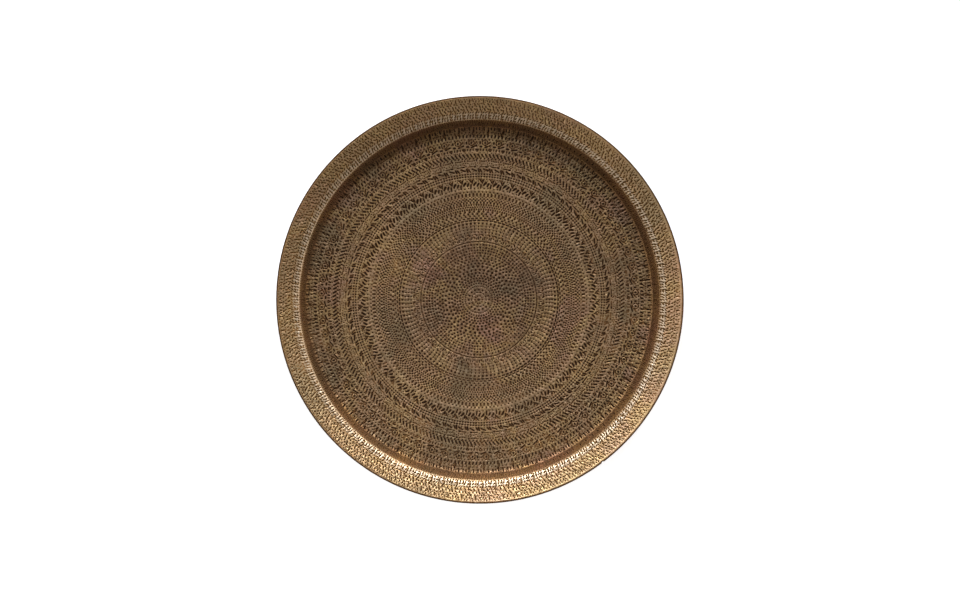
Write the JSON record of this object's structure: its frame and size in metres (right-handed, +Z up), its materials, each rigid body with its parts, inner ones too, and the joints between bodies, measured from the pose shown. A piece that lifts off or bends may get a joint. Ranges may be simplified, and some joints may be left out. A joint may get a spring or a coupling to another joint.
{
  "type": "round brass tray",
  "caption": "Large round metal tray with a flat floor, a steep low wall, a wide rising rim and a wired edge, hand punched all over with rings of small marks.",
  "frame": {"origin": "centre of the flat underside, where the tray stands", "axes": "+Z up along the axis that the sheet was spun about, from the underside to the open side; +X and +Y lie in the plane it stands on, and the two ends of the rim wire nearly meet 53 degrees from +X towards -Y"},
  "size_m": [0.6, 0.6, 0.0363],
  "materials": {
    "brass": "antiqued: dark brown patina in the punched marks, rubbed lighter on the high spots, the shoulder and the rim",
    "wire_steel": "plain drawn wire, hidden inside the rolled edge"
  },
  "bodies": {
    "root": {"tray_body": "brass", "rim_wire": "wire_steel"}
  },
  "joints": []
}
